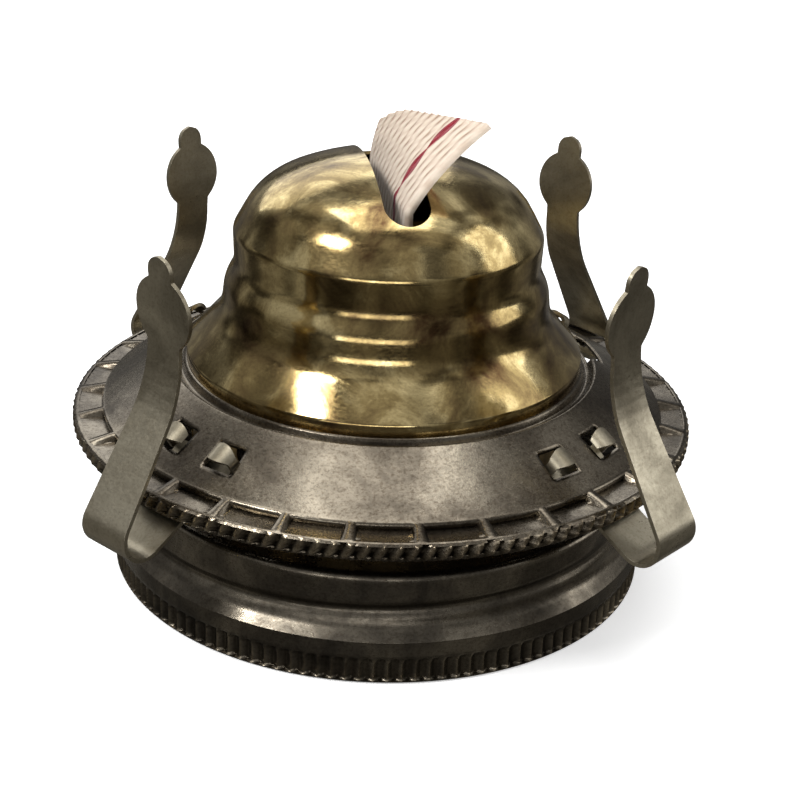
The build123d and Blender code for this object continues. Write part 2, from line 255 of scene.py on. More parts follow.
def soften_edges(piece, width, segments=2, angle=50):
    edge = piece.modifiers.new("soft edges", "BEVEL")
    edge.width = width * MM
    edge.segments = segments
    edge.limit_method = "ANGLE"
    edge.angle_limit = radians(angle)
    edge.harden_normals = True
    return edge


# %% [markdown]
# ## Helpers for materials
#
# A metal looks real when nothing on it is quite even. Each finish here mixes two or three
# tones with noise of several sizes, changes its roughness with the same noise, and has a fine
# bump. The noise reads Object coordinates, which every piece has, scaled to millimetres, so
# that "scale 0.2" means a patch about five millimetres across.


# %% Small steps of a node tree
def start_material(name):
    material = bpy.data.materials.new(name)
    material.use_nodes = True
    tree = material.node_tree
    shader = tree.nodes["Principled BSDF"]
    return material, tree, shader


def node(tree, kind, **values):
    made = tree.nodes.new(kind)
    for key, value in values.items():
        if key in made.inputs:
            made.inputs[key].default_value = value
        else:
            setattr(made, key, value)
    return made


def in_millimetres(tree, stretch=(1, 1, 1)):
    """Object coordinates, scaled to millimetres and stretched."""
    where = node(tree, "ShaderNodeTexCoord")
    scaled = node(tree, "ShaderNodeMapping")
    scaled.inputs["Scale"].default_value = [1000 * s for s in stretch]
    tree.links.new(where.outputs["Object"], scaled.inputs["Vector"])
    return scaled.outputs["Vector"]


def noise(tree, vector, scale, detail=4.0, rough=0.55, distortion=0.0):
    made = node(tree, "ShaderNodeTexNoise", Scale=scale, Detail=detail)
    made.inputs["Roughness"].default_value = rough
    made.inputs["Distortion"].default_value = distortion
    tree.links.new(vector, made.inputs["Vector"])
    return made.outputs["Fac"]


def ramp(tree, factor, stops):
    """A colour ramp through (position, (red, green, blue)) stops."""
    made = node(tree, "ShaderNodeValToRGB")
    elements = made.color_ramp.elements
    while len(elements) < len(stops):
        elements.new(0.5)
    for element, (position, colour) in zip(elements, stops):
        element.position = position
        element.color = (*colour, 1)
    tree.links.new(factor, made.inputs["Fac"])
    return made.outputs["Color"]


def grey_ramp(tree, factor, start, end, low, high):
    """Runs from low to high as the factor goes from start to end."""
    made = node(tree, "ShaderNodeMapRange")
    made.inputs["From Min"].default_value = start
    made.inputs["From Max"].default_value = end
    made.inputs["To Min"].default_value = low
    made.inputs["To Max"].default_value = high
    tree.links.new(factor, made.inputs["Value"])
    return made.outputs["Result"]


def mixed(tree, factor, first, second, blend="MIX"):
    made = node(tree, "ShaderNodeMix", data_type="RGBA", blend_type=blend)
    tree.links.new(factor, made.inputs["Factor"])
    tree.links.new(first, made.inputs["A"])
    tree.links.new(second, made.inputs["B"])
    return made.outputs["Result"]


def sum_of(tree, first, second, share=0.5):
    made = node(tree, "ShaderNodeMath", operation="MULTIPLY_ADD")
    tree.links.new(second, made.inputs[0])
    made.inputs[1].default_value = share
    tree.links.new(first, made.inputs[2])
    return made.outputs["Value"]


def bump(tree, shader, height, strength, distance):
    made = node(tree, "ShaderNodeBump", Strength=strength, Distance=distance * MM)
    tree.links.new(height, made.inputs["Height"])
    tree.links.new(made.outputs["Normal"], shader.inputs["Normal"])


# %% [markdown]
# ## Antique brass
#
# Antique brass is brass that has been darkened chemically and then rubbed. The rubbed places
# are yellow and smooth, and the rest is brown and a little duller. One function makes every
# brass on the burner, from the bright dome to the nearly black cap, by its tones.
#
# Ridged meshes also carry painted light: a crest is painted lighter, as a painted highlight, and a
# hollow darker, as painted shade. They say where in a float attribute, from -1 in a hollow to 1
# on a crest. A mesh without the attribute reads as 0, which changes nothing.


# %% A function for every brass
def brass(name, tones, patch, gloss, grain=0.25, pits=0.3):
    """tones are the darkest, middle and lightest colour, patch the size of the blotches in
    millimetres, and gloss the roughness of the smoothest and the dullest places."""
    material, tree, shader = start_material(name)
    where = in_millimetres(tree)
    blotches = noise(tree, where, 1 / patch, detail=7.0, rough=0.62, distortion=0.6)
    cloud = noise(tree, where, 0.35 / patch, detail=2.0)
    amount = sum_of(tree, blotches, cloud, 0.6)
    dark, middle, light = tones
    colour = ramp(tree, amount, [(0.60, dark), (0.80, middle), (1.02, light)])
    specks = noise(tree, where, 2.6, detail=3.0, rough=0.7)
    freckle = ramp(tree, specks, [(0.36, (0.45, 0.40, 0.36)), (0.52, (1.0, 1.0, 1.0))])
    made = node(tree, "ShaderNodeMix", data_type="RGBA", blend_type="MULTIPLY", Factor=pits)
    tree.links.new(colour, made.inputs["A"])
    tree.links.new(freckle, made.inputs["B"])
    # The ridge attribute paints light: hollows are darkened as painted shade and crests brightened
    # as a painted highlight.
    ridge_shade_and_highlight = node(tree, "ShaderNodeAttribute", attribute_name="ridge_shade_and_highlight").outputs["Fac"]
    ridge_light_tint = ramp(tree, grey_ramp(tree, ridge_shade_and_highlight, -1, 1, 0, 1), [
        (0.0, (0.25, 0.23, 0.21)), (0.5, (1.0, 1.0, 1.0)), (1.0, (2.4, 2.3, 2.1))])
    final = node(tree, "ShaderNodeMix", data_type="RGBA", blend_type="MULTIPLY", Factor=1.0)
    tree.links.new(made.outputs["Result"], final.inputs["A"])
    tree.links.new(ridge_light_tint, final.inputs["B"])
    tree.links.new(final.outputs["Result"], shader.inputs["Base Color"])
    shader.inputs["Metallic"].default_value = 1.0
    low, high = gloss
    dull = grey_ramp(tree, amount, 0.62, 1.0, high, low)
    scuffs = noise(tree, in_millimetres(tree, (1, 1, 3)), 1.4, detail=6.0, rough=0.7)
    tree.links.new(sum_of(tree, dull, grey_ramp(tree, scuffs, 0.3, 0.7, -0.5, 0.5), 0.16),
                   shader.inputs["Roughness"])
    fine = noise(tree, where, 5.0, detail=4.0, rough=0.65)
    broad = noise(tree, where, 0.22, detail=2.0)
    bump(tree, shader, sum_of(tree, fine, broad, 4.0), grain, 0.03)
    return material


# %% Mix the brasses
dome_brass = brass("dome_brass", ((0.085, 0.048, 0.022), (0.33, 0.245, 0.105), (0.86, 0.70, 0.36)),
                   patch=8, gloss=(0.08, 0.20), grain=0.16)
dark_brass = brass("dark_brass", ((0.060, 0.050, 0.038), (0.14, 0.120, 0.092), (0.25, 0.22, 0.17)),
                   patch=9, gloss=(0.20, 0.34), grain=0.40, pits=0.7)
cap_brass = brass("cap_brass", ((0.062, 0.054, 0.043), (0.135, 0.118, 0.092),
                  (0.245, 0.215, 0.168)), patch=7, gloss=(0.22, 0.40), grain=0.40, pits=0.5)
spring_brass = brass("spring_brass", ((0.20, 0.175, 0.125), (0.38, 0.34, 0.255),
                     (0.56, 0.51, 0.39)), patch=9, gloss=(0.30, 0.44), grain=0.35)
inner_brass = brass("inner_brass", ((0.14, 0.10, 0.05), (0.34, 0.25, 0.12), (0.55, 0.42, 0.21)),
                    patch=5, gloss=(0.26, 0.42), grain=0.35)
steel = brass("steel", ((0.20, 0.20, 0.20), (0.38, 0.37, 0.36), (0.58, 0.57, 0.55)),
              patch=3, gloss=(0.2, 0.4), grain=0.3)

# %% [markdown]
# ## The gasket
#
# The ring that seals the cap to the jar is soft rubber: not a metal, quite rough, and pressed
# smoother where it meets the glass. A plain grain and a slow change of tone are enough.

# %% Rubber
gasket_rubber, tree, shader = start_material("gasket_rubber")
where = in_millimetres(tree)
tone = ramp(tree, noise(tree, where, 0.4, detail=5.0), [(0.3, (0.05, 0.022, 0.015)),
                                                        (0.7, (0.11, 0.045, 0.03))])
tree.links.new(tone, shader.inputs["Base Color"])
tree.links.new(grey_ramp(tree, noise(tree, where, 1.1), 0.3, 0.7, 0.5, 0.75),
               shader.inputs["Roughness"])
bump(tree, shader, noise(tree, where, 6.0), 0.3, 0.05)

# %% [markdown]
# ## The jar cap
#
# The cap is a deep pressing: a flat top with a hole for the burner, a straight band that
# carries the rolled thread, a hollow taper, and a skirt with grip ribs. The section is spun in
# 528 steps, four for each of its 132 ribs, so that a rib has a crest, a valley and two flanks.

# %% Spin the cap
RIBS = 132
cap = bmesh.new()
section(cap, [
    (22.0, CAP_TOP, 0), (35.75, CAP_TOP, 0.9), (35.75, 7.7, 0.9), (37.1, 6.45, 0.5),
    (CAP_R, 6.1, 0.3), (CAP_R, 0.25, 0.25), (37.0, 0.0, 0),
])
cut_long_edges(cap, 0.42)
spin_round(cap, RIBS * 4)
print("cap", len(cap.faces), "faces")

# %% Press in the grip ribs
# Each step of the spin is a column of points. Every fourth column is a crest, which gets a
# painted highlight, and the three between them sink and get painted shade.
RIB_FOOT, RIB_TOP = 0.45, 3.75
SINK = {0: 0.0, 1: 0.45, 2: 0.62, 3: 0.45}
# Painted light for each column: the crest gets a painted highlight, and the sunk columns get
# painted shade.
RIB_SHADE_AND_HIGHLIGHT = {0: 0.5, 1: -0.45, 2: -0.75, 3: -0.45}
ridge_shade_and_highlight = cap.verts.layers.float.new("ridge_shade_and_highlight")
columns = {place: [] for place in SINK}
for point in cap.verts:
    if RIB_FOOT < point.co.z / MM < RIB_TOP and from_axis(point.co) > CAP_R - 0.2:
        columns[round(turn_of(point.co) / 360 * RIBS * 4) % 4].append(point)
for place, points in columns.items():
    share = 1 - SINK[place] / CAP_R
    bmesh.ops.scale(cap, vec=(share, share, 1), verts=points)
    for point in points:
        point[ridge_shade_and_highlight] = RIB_SHADE_AND_HIGHLIGHT[place]
print("rib columns:", len(columns[2]))

# %% Roll the thread
# The thread is a shallow groove that climbs once round the band. How far a point sinks
# depends on its distance from the groove's centre at that azimuth, on a smooth curve.
PITCH, GROOVE_START, GROOVE_FIRST, GROOVE_HALF, GROOVE_DEEP = 5.08, 8.6, 190.0, 1.25, 0.55
for point in cap.verts:
    along = (turn_of(point.co) - GROOVE_FIRST) % 360
    centre = GROOVE_START + PITCH * along / 360
    away = abs(point.co.z / MM - centre)
    ends = min(1, along / 12, max(0, (342 - along) / 12))
    if away < GROOVE_HALF and ends > 0 and from_axis(point.co) > 34:
        sink = GROOVE_DEEP * ends * cos(away / GROOVE_HALF * pi / 2) ** 2
        share = 1 - sink / from_axis(point.co)
        point.co.x *= share
        point.co.y *= share

jar_cap = finished("jar_cap_pressing", cap, "burner", cap_brass, sharp=75)
thicken(jar_cap, 0.55)
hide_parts("jar_cap")

# %% [markdown]
# ## The gallery
#
# The gallery is the wide pressing that carries the prongs. It has a groove round the dome, a
# sloping dish, thirty sunken panels with narrow ribs between them, and a milled edge. It is
# spun in 540 steps: 18 for each panel, and four for each of the 135 notches of the edge.

# %% Spin the gallery
STEPS, PANELS = 540, 30
STEP = 360 / STEPS
SLOPE = (29.5 - 23.9) / (38.2 - 29.1)


def dish_height(radius):
    return 29.5 - (radius - 29.1) * SLOPE


gallery = bmesh.new()
section(gallery, [
    (22.6, 29.5, 0), (27.4, 29.5, 0.3), (27.8, 28.4, 0.25), (28.4, 28.4, 0.25),
    (29.15, 29.45, 0.35), (30.7, dish_height(30.7), 0), (32.5, dish_height(32.5), 0),
    (35.9, dish_height(35.9), 0), (38.0, dish_height(38.0), 0), (38.5, dish_height(38.5), 0.2),
    (42.15, 22.98, 0.25), (GALLERY_R, 22.6, 0.2), (GALLERY_R, 21.0, 0.35), (42.2, 20.5, 0),
])
cut_long_edges(gallery, 0.62)
spin_round(gallery, STEPS)
print("gallery", len(gallery.faces), "faces")


# %% Punch the holes
# Each prong has two lugs that come up through square holes, and two windows in the raised
# ring let air in. A hole is made by deleting whole faces between two steps of the spin.
PRONG_TURNS = [37 + 90 * number for number in range(4)]


def gap_to(angle, other):
    """The unsigned turn between two azimuths."""
    return abs((angle - other + 180) % 360 - 180)


punched = []
for face in gallery.faces:
    middle = face.calc_center_median()
    radius, turn = from_axis(middle), turn_of(middle)
    beside = min(gap_to(turn, prong) for prong in PRONG_TURNS)
    window = min(turn, 360 - turn, gap_to(turn, 180))
    is_lug_hole = 32.5 < radius < 35.9 and 3.7 < beside < 11.0
    is_window = 28.45 < radius < 30.7 and window < 8
    if is_lug_hole or is_window:
        punched.append(face)
bmesh.ops.delete(gallery, geom=punched, context="FACES")
print("faces punched out:", len(punched))

# %% Sink the panels
# The faces of a panel are inset twice. Each inset makes a rim, and what is inside it is
# lowered and flattened, so the wall of the panel is rounded and not a bare step.
RIB_TURN = 360 / PANELS
FIRST_RIB = 2.0             # azimuth of one rib, in degrees
panel_faces = []
for face in gallery.faces:
    middle = face.calc_center_median()
    from_rib = (turn_of(middle) - FIRST_RIB) % RIB_TURN
    if 38.6 < from_axis(middle) < 42.05 and STEP * 1.01 < from_rib < RIB_TURN - STEP * 1.01:
        panel_faces.append(face)
PANEL_FLOOR = 22.75
for thickness, share in ((0.22, 0.62), (0.28, 0.0)):
    bmesh.ops.inset_region(
        gallery, faces=panel_faces, thickness=thickness * MM, use_even_offset=False,
        use_boundary=True,
    )
    inside = list({point for face in panel_faces for point in face.verts})
    bmesh.ops.scale(
        gallery, vec=(1, 1, share), verts=inside,
        space=Matrix.Translation((0, 0, -PANEL_FLOOR * MM)),
    )
print("panel faces:", len(panel_faces))

# %% Mill the edge
# The notches of the edge lean, like the strands of a rope. A point's column is shifted by
# its height, and the columns of a notch sink along a wave that is four columns long.
NOTCH_DEEP, NOTCH_LEAN = 0.85, 0.9
ridge_shade_and_highlight = gallery.verts.layers.float.new("ridge_shade_and_highlight")
for point in gallery.verts:
    height = point.co.z / MM
    if from_axis(point.co) > GALLERY_R - 0.35 and 20.6 < height < 22.85:
        lean = (22.6 - height) * NOTCH_LEAN
        column = (turn_of(point.co) / STEP + lean) % 4
        hollow = (0.5 + 0.5 * cos(column / 4 * 2 * pi)) ** 1.2
        # Notch hollows are painted darker as painted shade, and the crests lighter as a painted
        # highlight.
        point[ridge_shade_and_highlight] = 0.75 - 1.7 * hollow
        share = 1 - NOTCH_DEEP * hollow / from_axis(point.co)
        point.co.x *= share
        point.co.y *= share

gallery_piece = finished("gallery_pressing", gallery, "burner", dark_brass, sharp=60)
thicken(gallery_piece, SHEET)
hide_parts("gallery")

# %% [markdown]
# ## The dome
#
# The dome shapes the flame: air rushes up under it and meets the wick in its slot. Its lower
# part is spun, like the gallery. Its crown can't be, because a spun mesh has no clean edge
# round a long slot. So the slot is drawn as a loop of its own, bridged to the top of the spun
# part, and the new rings are lifted onto the crown's curve.

# %% Spin the steps of the dome
DOME_STEPS = 192
CROWN_TOP, CROWN_R, CORNER_R, CROWN_TURN, CORNER_END = 58.1, 35.0, 10.3, 65.0, 26.0
crown_z = CROWN_TOP - CROWN_R
corner_r = (CROWN_R - CORNER_R) * cos(radians(CROWN_TURN))
corner_z = crown_z + (CROWN_R - CORNER_R) * sin(radians(CROWN_TURN))
shoulder_r = corner_r + CORNER_R * cos(radians(CORNER_END))
shoulder_z = corner_z + CORNER_R * sin(radians(CORNER_END))


def crown_height(radius):
    """Height of the dome's skin at a distance from its axis, above the shoulder."""
    if radius < CROWN_R * cos(radians(CROWN_TURN)):
        return crown_z + sqrt(CROWN_R ** 2 - radius ** 2)
    return corner_z + sqrt(max(0.0, CORNER_R ** 2 - (radius - corner_r) ** 2))


dome = bmesh.new()
section(dome, [
    (shoulder_r, shoulder_z, 0), (20.95, 47.7, 0.5), (20.9, 47.2, 0.2), (20.75, 43.1, 0.9),
    (22.05, 40.5, 0.7), (22.55, 36.4, 1.6), (26.55, 31.9, 0.8), (DOME_R, 31.1, 0.35),
    (DOME_R, DOME_FOOT, 0),
])
cut_long_edges(dome, 0.7)
spin_round(dome, DOME_STEPS)
print("dome", len(dome.faces), "faces")

# %% Draw the slot and bridge it
SLOT_LENGTH, SLOT_WIDTH, SLOT_X = 33.6, 6.0, -0.5
rim = [edge for edge in dome.edges if edge.is_boundary
       and from_axis(edge.verts[0].co) < shoulder_r + 0.01
       and edge.verts[0].co.z > (shoulder_z - 0.01) * MM]
SIDE_CUTS = DOME_STEPS // 6 - 1
ENDS = DOME_STEPS - 2 * SIDE_CUTS
made = bmesh.ops.create_circle(dome, segments=ENDS, radius=SLOT_WIDTH / 2 * MM, cap_ends=False)
loop = made["verts"]
half = (SLOT_LENGTH - SLOT_WIDTH) / 2
bmesh.ops.rotate(dome, verts=loop, cent=(0, 0, 0), matrix=Matrix.Rotation(pi / ENDS, 3, "Z"))
upper = [point for point in loop if point.co.y > 0]
lower = [point for point in loop if point.co.y < 0]
bmesh.ops.translate(dome, verts=upper, vec=(0, half * MM, 0))
bmesh.ops.translate(dome, verts=lower, vec=(0, -half * MM, 0))
slot_edges = list({edge for point in loop for edge in point.link_edges})
sides = [edge for edge in slot_edges if edge.calc_length() > half * MM]
bmesh.ops.subdivide_edges(dome, edges=sides, cuts=SIDE_CUTS)
slot_points = [point for point in dome.verts if not point.link_faces]
bmesh.ops.translate(dome, verts=slot_points, vec=(SLOT_X * MM, 0, 58 * MM))
slot_edges = [edge for edge in dome.edges if edge.is_wire]
print("slot points", len(slot_points), "rim edges", len(rim))

# %% Lift the crown
bridged = bmesh.ops.bridge_loops(dome, edges=rim + slot_edges)
bmesh.ops.subdivide_edges(dome, edges=bridged["edges"], cuts=16, use_grid_fill=True)
for point in dome.verts:
    if point.co.z > (shoulder_z + 0.001) * MM and from_axis(point.co) < shoulder_r:
        point.co.z = crown_height(from_axis(point.co)) * MM
face_outwards(dome)
dome_piece = finished("dome_pressing", dome, "flame_dome", dome_brass, sharp=45)
thicken(dome_piece, SHEET)
soften_edges(dome_piece, 0.12)
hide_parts("dome")

# %% [markdown]
# ## The prongs
#
# A prong is one strip of spring brass. Its foot lies under the gallery, it turns round a tight
# bend outside the edge, and its blade leans in and ends in a disc with a small finger. The
# centre line is drawn first, with `spin` for the bend, and pulled sideways into a strip. The
# strip has the same width everywhere until each row is drawn out to the outline's width.

# %% Draw the centre line
BEND_R, BEND_AT = 3.1, (46.5, 19.8)
FOOT_DOWN, BLADE_IN = 30.0, 32.0


def on_bend(angle):
    return BEND_AT[0] + BEND_R * cos(radians(angle)), BEND_AT[1] + BEND_R * sin(radians(angle))


def draw_prong_line(bm, tip_z):
    """The centre line, from the inner end of the foot to the tip."""
    enters, leaves = on_bend(270 - FOOT_DOWN), on_bend(360 + BLADE_IN)
    knee_z = enters[1] + (enters[0] - 37.2) * tan(radians(FOOT_DOWN))
    blade_knee = leaves[1] + (leaves[0] - 40.0) / tan(radians(BLADE_IN))
    section(bm, [(32.6, knee_z + 3.6, 0), (37.2, knee_z, 1.0), (*enters, 0)])
    start = min(bm.verts, key=lambda point: point.co.z)
    bmesh.ops.spin(
        bm, geom=[start], cent=(BEND_AT[0] * MM, 0, BEND_AT[1] * MM), axis=(0, 1, 0),
        angle=-radians(90 + FOOT_DOWN + BLADE_IN), steps=22,
    )
    blade = bmesh.new()
    section(blade, [(*leaves, 0), (40.0, blade_knee, 3.6), (39.4, 43.5, 2.2), (40.2, tip_z, 0)])
    scrap = bpy.data.meshes.new("blade line")
    blade.to_mesh(scrap)
    blade.free()
    bm.from_mesh(scrap)
    bpy.data.meshes.remove(scrap)
    bmesh.ops.remove_doubles(bm, verts=bm.verts[:], dist=0.02 * MM)
    cut_long_edges(bm, 0.36)


# %% Draw the outline
FOOT_HALF, NECK_HALF, DISC_HALF, FINGER_HALF = 4.0, 2.85, 4.75, 2.0
DISC_Z = 46.0


def half_width(radius, height, tip_z):
    """Half of the strip's width at a point of its centre line, in millimetres."""
    if height < 30 and radius < 38.3:
        return 5.2
    if height < BEND_AT[1]:
        return FOOT_HALF
    share = min(1, (height - BEND_AT[1]) / (41 - BEND_AT[1]))
    width = FOOT_HALF + (NECK_HALF - FOOT_HALF) * share if height < DISC_Z else 0.0
    if abs(height - DISC_Z) < DISC_HALF:
        width = max(width, sqrt(DISC_HALF ** 2 - (height - DISC_Z) ** 2))
    if height > DISC_Z:
        above = height - (tip_z - FINGER_HALF)
        finger = FINGER_HALF if above < 0 else sqrt(max(0.02, FINGER_HALF ** 2 - above ** 2))
        width = max(width, finger)
    return width


# %% Make the strips
def prong_strip(tip_z):
    bm = bmesh.new()
    draw_prong_line(bm, tip_z)
    bmesh.ops.translate(bm, verts=bm.verts[:], vec=(0, -MM, 0))
    line = bm.edges[:]
    for _ in range(8):
        pulled = bmesh.ops.extrude_edge_only(bm, edges=line)
        points = [part for part in pulled["geom"] if isinstance(part, bmesh.types.BMVert)]
        line = [part for part in pulled["geom"] if isinstance(part, bmesh.types.BMEdge)
                and all(point in set(points) for point in part.verts)]
        bmesh.ops.translate(bm, verts=points, vec=(0, MM / 4, 0))
    for point in bm.verts:
        point.co.y *= half_width(point.co.x / MM, point.co.z / MM, tip_z)
    return bm


# %% Add the lugs
# A lug is a tongue of the foot, pushed up through its hole and curled over. An edge spun
# half round makes the curl, and its end is drawn in to round it.
LUG_R, LUG_SIDE, LUG_CURL, LUG_STRETCH = 34.2, 4.3, 1.15, 1.45


def add_lugs(bm):
    slope = Matrix.Rotation(asin(SLOPE / hypot(1, SLOPE)), 3, "Y")
    for side in (-1, 1):
        before = set(bm.verts)
        ends = [bm.verts.new((x * MM, LUG_CURL * MM, -2.2 * MM)) for x in (-1.2, 1.2)]
        edge = bm.edges.new(ends)
        up = bmesh.ops.extrude_edge_only(bm, edges=[edge])["geom"]
        top = [part for part in up if isinstance(part, bmesh.types.BMVert)]
        bmesh.ops.translate(bm, verts=top, vec=(0, 0, 2.2 * MM))
        rim_edge = [part for part in up if isinstance(part, bmesh.types.BMEdge)
                    and all(point in top for point in part.verts)]
        bmesh.ops.spin(bm, geom=top + rim_edge, cent=(0, 0, 0), axis=(1, 0, 0),
                       angle=radians(165), steps=10)
        lug = [point for point in bm.verts if point not in before]
        for point in lug:
            round_off = 1 - (point.co.y / (1.12 * LUG_CURL * MM)) ** 2
            point.co.x *= sqrt(max(0.15, round_off)) if point.co.z > 0 else 0.5
        bmesh.ops.scale(bm, vec=(1.15, side * LUG_STRETCH, 1), verts=lug)
        bmesh.ops.rotate(bm, verts=lug, cent=(0, 0, 0), matrix=slope)
        bmesh.ops.translate(bm, verts=lug, vec=(
            LUG_R * MM, side * LUG_SIDE * MM, (dish_height(LUG_R) + 0.05) * MM))


# %% Set the four prongs round the gallery
# The foot stays with the burner and the blade springs, so the strip belongs to neither body: it
# is freed from its body and its place is baked into its mesh.
PRONG_THICK, OVER_TIP = 0.55, 0.3
for number, turn in enumerate(PRONG_TURNS, start=1):
    strip = prong_strip(PRONG_TIP + OVER_TIP)
    add_lugs(strip)
    bmesh.ops.rotate(strip, verts=strip.verts[:], cent=(0, 0, 0),
                     matrix=Matrix.Rotation(radians(turn), 3, "Z"))
    bmesh.ops.recalc_face_normals(strip, faces=strip.faces[:])
    prong = finished(f"prong_{number}", strip, "burner", spring_brass, sharp=60)
    thicken(prong, PRONG_THICK, offset=0.0)
    soften_edges(prong, 0.1)
    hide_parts(f"prong_foot_{number}", f"prong_blade_{number}")
    prong.parent = None
    del prong["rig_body"]
    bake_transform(prong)

# %% [markdown]
# ## The wick
#
# A flat wick is a woven cotton tape with a red tracer thread. Its top leans out of the slot
# and over the dome. It starts as a flat grid with a UV map, which is then laid along its
# line, so the weave in the material follows the cloth however it bends.

# %% Cotton with a tracer
cotton, tree, shader = start_material("wick_cotton")
uv = node(tree, "ShaderNodeUVMap", uv_map="UVMap")
split = node(tree, "ShaderNodeSeparateXYZ")
tree.links.new(uv.outputs["UV"], split.inputs["Vector"])
across, along = split.outputs["X"], split.outputs["Y"]


def maths(tree, operation, first, second=None, third=None):
    made = node(tree, "ShaderNodeMath", operation=operation)
    for place, value in enumerate((first, second, third)):
        if value is None:
            continue
        if isinstance(value, (int, float)):
            made.inputs[place].default_value = value
        else:
            tree.links.new(value, made.inputs[place])
    return made.outputs["Value"]


# %% The cords of the weave
# UV is in millimetres: X runs across the tape and Y along it. Warp cords lie 1.7 mm apart,
# and each is a twist of yarn, so its strokes lean.
CORD = 1.7
wander = maths(tree, "MULTIPLY", noise(tree, uv.outputs["UV"], 0.25, detail=2.0), 1.1)
cord_at = maths(tree, "ADD", across, wander)
cords = maths(tree, "ABSOLUTE", maths(tree, "SINE", maths(tree, "MULTIPLY", cord_at, pi / CORD)))
twist = maths(tree, "SINE", maths(tree, "ADD", maths(tree, "MULTIPLY", along, 2.1),
                                  maths(tree, "MULTIPLY", cord_at, 3.4)))
fibre_space = node(tree, "ShaderNodeMapping")
fibre_space.inputs["Scale"].default_value = (4.0, 0.7, 1.0)
tree.links.new(uv.outputs["UV"], fibre_space.inputs["Vector"])
fibres = noise(tree, fibre_space.outputs["Vector"], 1.2, detail=5.0, rough=0.6)
weave = maths(tree, "MULTIPLY_ADD", twist, 0.22, cords)
weave = maths(tree, "MULTIPLY_ADD", fibres, 0.9, weave)

# %% The colours of the wick
cream = ramp(tree, maths(tree, "MULTIPLY", weave, 0.6), [
    (0.20, (0.36, 0.23, 0.15)), (0.48, (0.62, 0.475, 0.365)), (0.85, (0.78, 0.665, 0.545)),
])
TRACER_AT = 7.0
bead = maths(tree, "ABSOLUTE", maths(tree, "SINE", maths(tree, "MULTIPLY", along, pi / 6.4)))
breadth = maths(tree, "MULTIPLY_ADD", bead, 0.72, 0.22)
sway = maths(tree, "MULTIPLY", noise(tree, uv.outputs["UV"], 0.12, detail=1.0), 0.8)
offset = maths(tree, "ABSOLUTE", maths(tree, "SUBTRACT", maths(tree, "ADD", across, sway),
                                       TRACER_AT))
is_tracer = maths(tree, "LESS_THAN", offset, breadth)
crimson = ramp(tree, fibres, [(0.3, (0.16, 0.004, 0.012)), (0.7, (0.36, 0.012, 0.03))])
tree.links.new(mixed(tree, is_tracer, cream, crimson), shader.inputs["Base Color"])
tree.links.new(grey_ramp(tree, fibres, 0.3, 0.7, 0.8, 0.95), shader.inputs["Roughness"])
shader.inputs["Sheen Weight"].default_value = 0.25
shader.inputs["Specular IOR Level"].default_value = 0.25
bump(tree, shader, weave, 0.85, 0.25)


# %% A flat tape to bend
WICK_WIDTH, WICK_THICK, TAPE_COLUMNS = 25.4, 2.0, 96


def flat_tape(rows, length):
    """A flat grid with UV in millimetres: x across from 0 to the width, y along from 0."""
    bm = bmesh.new()
    bmesh.ops.create_grid(bm, x_segments=TAPE_COLUMNS, y_segments=rows, size=0.5)
    bmesh.ops.translate(bm, verts=bm.verts[:], vec=(0.5, 0.5, 0))
    bmesh.ops.scale(bm, vec=(WICK_WIDTH, length, 1), verts=bm.verts[:])
    layer = bm.loops.layers.uv.new("UVMap")
    for face in bm.faces:
        for corner in face.loops:
            corner[layer].uv = corner.vert.co.xy
    return bm


def ridges(distance):
    """How far the cords stand up across the tape, in millimetres."""
    return 0.10 * abs(sin(distance * pi / CORD))


# %% Bend the flame end
# Up to LEAN_FROM the tape stands straight in its tube. Above, each lengthwise thread follows
# a smooth curve from its place in the slot to its place on the top edge.
SPLIT_Z, LEAN_FROM = heights_of("wick_top")[0], 54.0
NEAR_TOP, FAR_TOP = Vector((9.6, -13.1, 65.3)), Vector((1.2, 8.6, 62.2))
STRAIGHT = LEAN_FROM - SPLIT_Z
LEAN_LENGTH, FLAME_THICK = 13.6, 1.1


def flame_point(distance, height):
    """A point of the tape: distance from its near edge, height along it, in millimetres."""
    share = distance / WICK_WIDTH
    y = -WICK_WIDTH / 2 + distance
    if height <= STRAIGHT:
        return Vector((0, y, SPLIT_Z + height))
    t = (height - STRAIGHT) / LEAN_LENGTH
    corner = max(0.0, (share - 0.74) / 0.26)
    t *= 1 - 0.30 * corner ** 2.2
    start = Vector((0, y, LEAN_FROM))
    end = NEAR_TOP.lerp(FAR_TOP, share)
    middle = Vector((0.34 * end.x, y * 0.98, LEAN_FROM + (end.z - LEAN_FROM) * 0.52))
    return start * (1 - t) ** 2 + middle * 2 * t * (1 - t) + end * t ** 2


tape = flat_tape(110, STRAIGHT + LEAN_LENGTH)
for point in tape.verts:
    distance, height = point.co.x, point.co.y
    place = flame_point(distance, height)
    place.x -= ridges(distance)
    point.co = place * MM
bmesh.ops.recalc_face_normals(tape, faces=tape.faces[:])
flame_end = finished("wick_flame_end", tape, "wick", cotton, sharp=80)
thicken(flame_end, FLAME_THICK, offset=0.0)
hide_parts("wick_top")
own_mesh(flame_end)

# %% Fold the slack
# Below the tube the wick bends over and lies folded in the cap, as it does when it is packed.
REACH, FOLD_R, TURN_R = 24.0, 1.15, 3.2
FLOOR_Z = heights_of("wick_tail")[0] + WICK_THICK / 2
UPPER_Z = FLOOR_Z + 2 * FOLD_R
RUNS = [SPLIT_Z - UPPER_Z - TURN_R, TURN_R * pi / 2, REACH - TURN_R - FOLD_R,
        FOLD_R * pi, 2 * REACH - FOLD_R]


